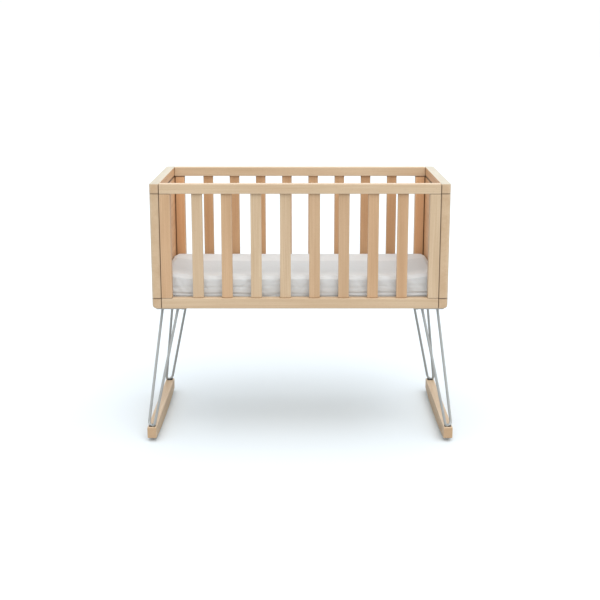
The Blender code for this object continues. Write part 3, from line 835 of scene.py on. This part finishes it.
def counterbore(bolt, sx):
    """A closed tool for the hole round a bolt's head, with a softened mouth."""
    low, high = box_of(bolt)
    middle = (low + high) / 2
    face = BODY_HIGH[0] * sx
    hole = BOLT_HEAD / 2 + BOLT_PLAY
    radii = [hole + 0.0022, hole + 0.0012, hole + 0.0004, hole, hole, 0.001]
    heights = [-0.0010, 0.0, 0.0004, 0.0010, BOLT_SINK, BOLT_SINK]
    place = (face, middle[1], middle[2])
    return make_mesh("counterbore", *turned_shape(radii, heights, place, (-sx, 0, 0)))


def make_ends(beech):
    """The ends' rails and panels."""
    for sx, end in SIGNS:
        for kind in ("top_rail", "panel", "bottom_rail"):
            node = f"{end}_end_{kind}"
            mesh = make_mesh(node, *end_shape(node, sx, kind == "bottom_rail"))
            if kind != "panel":
                level = kind.split("_")[0]
                holes = [counterbore(f"{side}_{end}_{level}_bolt", sx) for _, side in DEPTHS]
                mesh = combined(node, mesh, holes, "DIFFERENCE")
            add_wood(node, mesh, 1, beech)


def rocker_shape(node, sections=73):
    """A rocker: a rounded rectangle carried along Y, whose lower side follows the sole's arc."""
    low, high = box_of(node)
    half = high[1]
    bow = (half ** 2 + SOLE_RISE ** 2) / (2 * SOLE_RISE)
    ends, drawn = stations(low[1], high[1], ROCKER_EASE, 5)
    inner = np.linspace(-1, 1, sections)[1:-1] * (half - ROCKER_EASE - WEAR)
    cut = len(ends) // 2
    along = np.concatenate([ends[:cut], inner, ends[cut:]])
    drawn = np.concatenate([drawn[:cut], np.zeros(len(inner)), drawn[cut:]])
    sole = bow - np.sqrt(bow ** 2 - along ** 2)
    under = np.stack([sole + drawn, low[0] + drawn], axis=1)
    over = np.stack([high[2] - drawn, high[0] - drawn], axis=1)
    radii = np.full((len(along), 4), ROCKER_EASE)
    return loft(placed(along[:, None], outlines(under, over, radii, 5), 1))


def pocket(node):
    """A closed tool for the hole that a socket stands in."""
    low, high = box_of(node)
    low = low - POCKET_PLAY
    high = high + (POCKET_PLAY, POCKET_PLAY, 0.004)
    section = outlines(np.stack([low[:2]] * 2), np.stack([high[:2]] * 2),
                       np.full((2, 4), SOCKET_ROUND), 8, 0.001)
    return make_mesh("pocket", *loft(placed(np.array([low[2], high[2]])[:, None], section, 2)))


def make_rockers(beech):
    """The two rockers, each with a pocket at both ends."""
    for _, end in SIGNS:
        node = f"{end}_rocker"
        tools = [pocket(f"{side}_{end}_leg_socket") for _, side in DEPTHS]
        mesh = combined(node, make_mesh(node, *rocker_shape(node)), tools, "DIFFERENCE")
        add_wood(node, mesh, 1, beech)


def vented_shape(low, high, steps=8):
    """A board with round holes, made of cells with one hole each.

    In a cell, a point of the unit square's border is stretched to the cell's border, and the
    same direction on a circle gives the hole's rim.  Strips join the borders and rims of both
    faces, and the board's own sides join the outer borders.
    """
    run = np.linspace(-1, 1, steps + 1)[:-1]
    one = np.ones(steps)
    border = np.concatenate([np.stack([run, -one], 1), np.stack([one, run], 1),
                             np.stack([-run, one], 1), np.stack([-one, -run], 1)])
    rim = border / np.linalg.norm(border, axis=1, keepdims=True) * VENT / 2
    cell = (high - low)[:2] / VENTS
    points = []
    faces = []
    for column, row in np.ndindex(VENTS):
        middle = low[:2] + (np.array([column, row]) + 0.5) * cell
        outer, inner = middle + border * cell / 2, middle + rim
        start = len(points) * len(border)
        points += [placed(z, flat, 2) for flat, z in ((outer, low[2]), (inner, low[2]),
                                                      (inner, high[2]), (outer, high[2]))]
        faces += (ring_faces(4, len(border)) + start).tolist()
        outermost = (row == 0, column == VENTS[0] - 1, row == VENTS[1] - 1, column == 0)
        for side in np.flatnonzero(outermost):
            here = side * steps + np.arange(steps)
            ahead = (here + 1) % len(border)
            top = 3 * len(border)
            walls = np.stack([here, ahead, ahead + top, here + top], 1)
            faces += (walls + start).tolist()
    return np.concatenate(points), faces


def make_base(beech, plywood):
    """The vented base board, and the cleats that carry it."""
    for _, side in DEPTHS:
        add_board(f"{side}_cleat", 0, beech, EASE / 2)
    low, high = box_of("mattress_base")
    mesh = make_mesh("mattress_base", *vented_shape(low, high))
    give_grain(mesh, low, high, 0)
    base = add_piece("mattress_base_board", mesh, plywood, "plywood", "frame", "mattress_base",
                     sharp=30)
    bevel = base.modifiers.new("eased_edges", "BEVEL")
    bevel.width = EASE / 2
    bevel.segments = 3
    bevel.limit_method = "ANGLE"
    bevel.angle_limit = radians(40)
    even_shading(base)


# ---- legs ----

def hairpin_line(sx, sy, top):
    """The bent rod's centre line and the normal of its plane.

    The two straights start at one height and touch a circle at the foot.  The plane is square to
    the corner's diagonal and leans out along it.
    """
    end, side = BODY_HIGH[:2]
    sole = box_of("right_rocker")
    socket = box_of("back_right_leg_socket")
    tops = np.array([(end - ROD_INSET_NEAR, side - ROD_INSET_FAR, top),
                     (end - ROD_INSET_FAR, side - ROD_INSET_NEAR, top)])
    bend = np.append((socket[0] + socket[1])[:2] / 2,
                     sole[1][2] - ROD_SINK + ROD / 2 + BEND_RADIUS)
    across = tops[0] - tops[1]
    across /= np.linalg.norm(across)
    down = bend - tops.mean(axis=0)
    down -= across * (down @ across)
    down /= np.linalg.norm(down)
    angles = []
    for rod_top, way in zip(tops, (1, -1)):
        along, drop = (rod_top - bend) @ across, (rod_top - bend) @ down
        towards = np.arctan2(way * along, drop) % (2 * pi)
        angles.append(way * (towards - np.arccos(BEND_RADIUS / np.hypot(along, drop))))
    turn = np.linspace(*angles, 33)[:, None]
    arc = bend + BEND_RADIUS * (np.sin(turn) * across + np.cos(turn) * down)
    steps = np.array([0.0, 0.0005, 0.0012, 0.0022, 0.0036, 0.006, 0.03, 0.1, 0.2])[:, None]
    straights = []
    for rod_top, touch in ((tops[0], arc[0]), (tops[1], arc[-1])):
        way = touch - rod_top
        straights.append(rod_top + steps * way / np.linalg.norm(way))
    line = np.concatenate([straights[0], arc, straights[1][::-1]])
    bead = WELD * np.exp(-steps[:, 0] / 0.0011)
    radii = ROD / 2 + np.concatenate([bead, np.zeros(len(arc)), bead[::-1]])
    flip = np.array([sx, sy, 1])
    return line * flip, radii, np.cross(across, down) * flip


def make_leg(sx, sy, node, painted):
    """A hairpin leg: the bent rod with a weld bead round each end, under its plate."""
    low, high = box_of(node)
    plate_low = np.array([low[0] if sx > 0 else high[0], low[1] if sy > 0 else high[1]])
    inset = np.abs(plate_low)
    outset = np.array([BODY_HIGH[0] - PLATE_INSET_END, BODY_HIGH[1] - PLATE_INSET_SIDE])
    corners = np.stack([inset, outset]) * (sx, sy)
    plate_low = np.append(corners.min(axis=0), high[2] - PLATE)
    plate_high = np.append(corners.max(axis=0), high[2])
    plate = make_mesh(node, *board_shape(plate_low, plate_high, 2, PLATE_EASE,
                                         [PLATE_ROUND] * 4, (2, 8), (PLATE_EASE, 0.001)))
    line, radii, plane = hairpin_line(sx, sy, plate_low[2] + PLATE_EASE)
    rod = make_mesh(node + "_rod", *loft(tube_rings(line, radii, plane)))
    mesh = combined(node, plate, [rod], "UNION")
    add_piece(node + "_hairpin", mesh, painted, "leg_steel", "frame", node, sharp=35)


def make_legs(painted, plastic):
    """All four legs and their sockets."""
    for sx, end in SIGNS:
        for sy, side in DEPTHS:
            node = f"{side}_{end}_leg"
            make_leg(sx, sy, node, painted)
            line, radii, plane = hairpin_line(sx, sy, box_of(node)[1][2] - PLATE)
            groove = make_mesh("groove", *loft(tube_rings(line, radii + GROOVE_PLAY, plane)))
            low, high = box_of(node + "_socket")
            block = board_shape(low, high, 2, SOCKET_EASE, [SOCKET_ROUND] * 4, (4, 8),
                                (0.0008, 0.0006))
            socket = combined(node + "_socket", make_mesh(node + "_socket", *block), [groove],
                              "DIFFERENCE")
            add_piece(node + "_socket_block", socket, plastic, "black_plastic", "frame",
                      node + "_socket")


# ---- fasteners ----

def make_fastener(node, direction, zinc, head, head_height, shank, key):
    """A bolt or screw: shank, round head with a soft shoulder, and a hexagon socket in it."""
    low, high = box_of(node)
    middle = (low + high) / 2
    way = np.array(direction, float)
    crown = middle + way * ((high - low) @ np.abs(way)) / 2
    length = (high - low) @ np.abs(way)
    soft = 0.28 * head_height
    rim = head / 2
    radii = [shank / 2 - 0.0006, shank / 2, shank / 2, rim - 0.0002, rim, rim,
             rim - 0.3 * soft, rim - soft, key + 0.0011, key + 0.0008, hexagon(key),
             hexagon(key), key * 0.5]
    heights = [-length, -length + 0.0006, -head_height, -head_height, -head_height + 0.0002,
               -soft, -0.3 * soft, 0, 0, -0.0001, -0.0004, -0.55 * head_height,
               -0.60 * head_height]
    mesh = make_mesh(node, *turned_shape(radii, heights, crown, direction))
    add_piece(node + "_turned", mesh, zinc, "zinc_steel", "frame", node, sharp=35)


def make_fasteners(zinc):
    """The corner bolts and the leg screws."""
    for sx, end in SIGNS:
        for _, side in DEPTHS:
            for level in ("top", "bottom"):
                make_fastener(f"{side}_{end}_{level}_bolt", (sx, 0, 0), zinc, BOLT_HEAD,
                              BOLT_HEAD_HEIGHT, BOLT_SHANK, BOLT_KEY)
            for rail in ("side", "end"):
                make_fastener(f"leg_screw_{side}_{end}_{rail}", (0, 0, -1), zinc, SCREW_HEAD,
                              SCREW_HEAD_HEIGHT, SCREW_SHANK, SCREW_KEY)


# ---- mattress ----

def remeshed(obj):
    """An object's mesh rebuilt from small even quads."""
    remesh = obj.modifiers.new("even_quads", "REMESH")
    remesh.mode = "VOXEL"
    remesh.voxel_size = VOXEL
    mesh = evaluated_copy(obj)
    obj.modifiers.clear()
    return mesh


def blown_up(obj, frames=20):
    """An object's mesh after its cover has been blown up a little as cloth, without weight.

    Each point moves along the cover's normal only, by SWELL at most.
    """
    before = vectors(obj.data.vertices)
    outwards = vectors(obj.data.vertex_normals, "vector")
    cloth = obj.modifiers.new("cover", "CLOTH")
    fabric = cloth.settings
    fabric.quality = 5
    fabric.mass = 0.3
    fabric.tension_stiffness = fabric.compression_stiffness = 12
    fabric.bending_stiffness = 0.4
    fabric.use_pressure = True
    fabric.uniform_pressure_force = 4
    fabric.effector_weights.gravity = 0
    cloth.collision_settings.use_collision = False
    cloth.collision_settings.use_self_collision = False
    scene = bpy.context.scene
    cloth.point_cache.frame_start = scene.frame_start = 1
    cloth.point_cache.frame_end = scene.frame_end = frames
    for step in range(1, frames + 1):
        scene.frame_set(step)
    mesh = evaluated_copy(obj)
    out = ((vectors(mesh.vertices) - before) * outwards).sum(axis=1, keepdims=True)
    swollen = before + outwards * np.clip(out, -SHRINK, SWELL)
    mesh.vertices.foreach_set("co", swollen.astype(np.float32).ravel())
    obj.modifiers.clear()
    scene.frame_set(1)
    return mesh


def smooth_step(value, low, high):
    """0 below low, 1 above high, and a smooth rise between them."""
    part = np.clip((value - low) / (high - low), 0, 1)
    return part * part * (3 - 2 * part)


def crease(distance, width):
    """A soft groove with a raised lip at each side, 1 deep in its middle."""
    part = (distance / width) ** 2
    return -np.exp(-part) + 0.45 * np.exp(-part / 6)


def wander(rng, turns, count, size):
    """A slow wave round the mattress that meets itself; turns is 0..1 round it."""
    waves = np.arange(1, count + 1)
    sizes = rng.normal(size=count) / waves ** 0.6
    shifts = rng.uniform(0, 2 * pi, count)
    total = np.sin(2 * pi * np.outer(turns, waves) + shifts) @ sizes
    return size * total / np.abs(total).max()


def side_lift(rng, s, t, around, corners, height):
    """How far the cover stands out on the side, unrolled: s runs round it, and t up it from 0 to 1.

    Level creases, whose height wanders, part it into soft rolls.  Short slanting creases run down
    from the top edge, and more of them are at the corners.
    """
    lift = np.zeros(len(s))
    for middle, depth, width in ROLLS:
        level = middle + wander(rng, s / around, 34, 0.085)
        faded = 0.30 + 0.80 * smooth_step(wander(rng, s / around, 24, 1.0), -0.5, 0.5)
        lift += depth * faded * crease(t - level, width)
    bulge = np.sin(np.clip(t, 0, 1) * pi) ** 0.7
    lift += bulge * (0.0016 + wander(rng, s / around, 30, 0.0014))
    at_corners = np.repeat(corners, 5) + np.tile(np.linspace(-0.05, 0.05, 5), 4)
    for start in np.concatenate([rng.uniform(0, around, 34), at_corners]):
        slant = rng.uniform(0.5, 1.8) * rng.choice([-1, 1], p=[0.2, 0.8])
        high_t, low_t = rng.uniform(0.80, 1.0), rng.uniform(0.28, 0.55)
        depth, width = rng.uniform(0.0008, 0.0022), rng.uniform(0.0040, 0.0080)
        away = (s - start + around / 2) % around - around / 2
        off = (away - slant * (high_t - t) * height) / np.hypot(1, slant)
        ends = smooth_step(t, low_t - 0.12, low_t + 0.08) * (1 - smooth_step(t, high_t, 1.08))
        lift += ends * depth * crease(off, width)
    return lift


def top_lift(rng, x, y, half):
    """How far the cover's top stands up: long shallow waves, and folds slanting to the front."""
    lift = np.zeros(len(x))
    for _ in range(9):
        turn = rng.uniform(0, pi)
        length = rng.uniform(0.10, 0.30)
        shift = rng.uniform(0, 2 * pi)
        lift += 0.00030 * np.sin(2 * pi * (x * np.cos(turn) + y * np.sin(turn)) / length + shift)
    for start in rng.uniform(-half[0] - 0.1, half[0], 34):
        along = rng.uniform(-0.10, 0.06) - y
        off = (x - start - rng.uniform(0.8, 2.2) * along) / 1.5
        ends = smooth_step(along, -0.01, 0.05) * (1 - smooth_step(along, 0.12, 0.26))
        lift += ends * rng.uniform(0.0008, 0.0022) * crease(off, rng.uniform(0.008, 0.014))
    return lift


def corner_fan(rng, from_x, from_y):
    """Folds that fan out from a corner of the top, given the distances from its two sides."""
    reach = np.hypot(from_x, from_y)
    fan = np.cos(np.arctan2(from_y, from_x) * 13 + rng.uniform(0, 6))
    return 0.0006 * fan * smooth_step(-reach, -0.11, -0.03) * smooth_step(reach, 0.004, 0.03)


def fold_lift(points, normals, low, high):
    """How far the cover stands out from the mattress at each point."""
    rng = np.random.default_rng(11)
    half = (high - low) / 2
    x, y = (points - (low + high) / 2)[:, :2].T
    t = (points[:, 2] - low[2]) / (high[2] - low[2])
    corners = np.cumsum([0, 2 * half[0], 2 * half[1], 2 * half[0]])
    around = 4 * (half[0] + half[1])
    on_long = np.abs(y) / half[1] > np.abs(x) / half[0]
    s = np.where(on_long, np.where(y < 0, half[0] + x, corners[2] + half[0] - x),
                 np.where(x > 0, corners[1] + half[1] + y, corners[3] + half[1] - y))
    side = 1 - smooth_step(np.abs(normals[:, 2]), 0.45, 0.9)
    top = smooth_step(normals[:, 2], 0.6, 0.95)
    lift = side * side_lift(rng, s, t, around, corners, high[2] - low[2])
    lift += top * top_lift(rng, x, y, half)
    for corner_x in (-1, 1):
        for corner_y in (-1, 1):
            fan = corner_fan(rng, half[0] - corner_x * x, half[1] - corner_y * y)
            lift += (top + side * smooth_step(t, 0.6, 0.9)) * fan
    return lift


def laid_cover(points, low, high):
    """The folded cover's points in their place, and how much each is in the band of painted shadow.

    Its top stands up along the ends, apart from the back corners, and its folds may stand
    higher than the mattress towards the front.  The band of painted shadow, cast by the front top
    rail, runs along the middle of the top.
    """
    upper = smooth_step((points[:, 2] - low[2]) / (high[2] - low[2]), 0.6, 0.95)
    along_ends = smooth_step(np.abs(points[:, 0]), high[0] - 0.100, high[0] - 0.006)
    rim = RIM * upper * along_ends * smooth_step(-points[:, 1], -high[1], -0.55 * high[1])
    room = np.zeros(points.shape)
    room[:, 2] = rim + 0.0006 + 0.0030 * smooth_step(-points[:, 1], -0.08, 0.0)
    points = np.clip(points + rim[:, None] * (0, 0, 1), low + 0.0002, high + room)
    # painted shadow of the front top rail: a band across the middle of the top
    forwards = -points[:, 1] - 0.004 * np.sin(points[:, 0] * 31)
    painted_rail_shadow = smooth_step(forwards, -0.075, -0.055) * (1 - smooth_step(forwards, 0.11, 0.17))
    return points, upper * painted_rail_shadow


def make_mattress(cover):
    """The mattress: a block blown up as cloth, with the folds of its cover worked in after."""
    low, high = box_of("mattress")
    block = board_shape(low + MATTRESS_MARGIN, high - MATTRESS_MARGIN, 2, MATTRESS_ROUND,
                        MATTRESS_CORNERS, (6, 10), (0.004, 0.02))
    pad = add_object("mattress_pad", make_mesh("mattress_pad", *block))
    pad.data = remeshed(pad)
    pad.data = blown_up(pad)
    subdivided = pad.modifiers.new("finer", "SUBSURF")
    subdivided.levels = subdivided.render_levels = 1
    mesh = evaluated_copy(pad)
    bpy.data.objects.remove(pad, do_unlink=True)
    points = vectors(mesh.vertices)
    normals = vectors(mesh.vertex_normals, "vector")
    folded = points + normals * fold_lift(points, normals, low, high)[:, None]
    points, painted_rail_shadow = laid_cover(folded, low, high)
    mesh.vertices.foreach_set("co", points.astype(np.float32).ravel())
    mesh.attributes.new("painted_rail_shadow", "FLOAT", "POINT").data.foreach_set("value", painted_rail_shadow)
    mesh.update()
    piece = add_piece("mattress_cover", mesh, cover, "mattress_cover", "mattress", "mattress",
                      sharp=180)


# ---- assembly ----

def make_bassinet():
    """Every piece of the bassinet, around its frame."""
    beech = beech_material()
    plywood = plywood_material()
    painted = painted_rod_material()
    make_sides(beech)
    make_ends(beech)
    make_rockers(beech)
    make_base(beech, plywood)
    make_legs(painted, black_plastic_material())
    make_fasteners(zinc_material())
    make_mattress(cover_material())


make_stage()
make_bassinet()
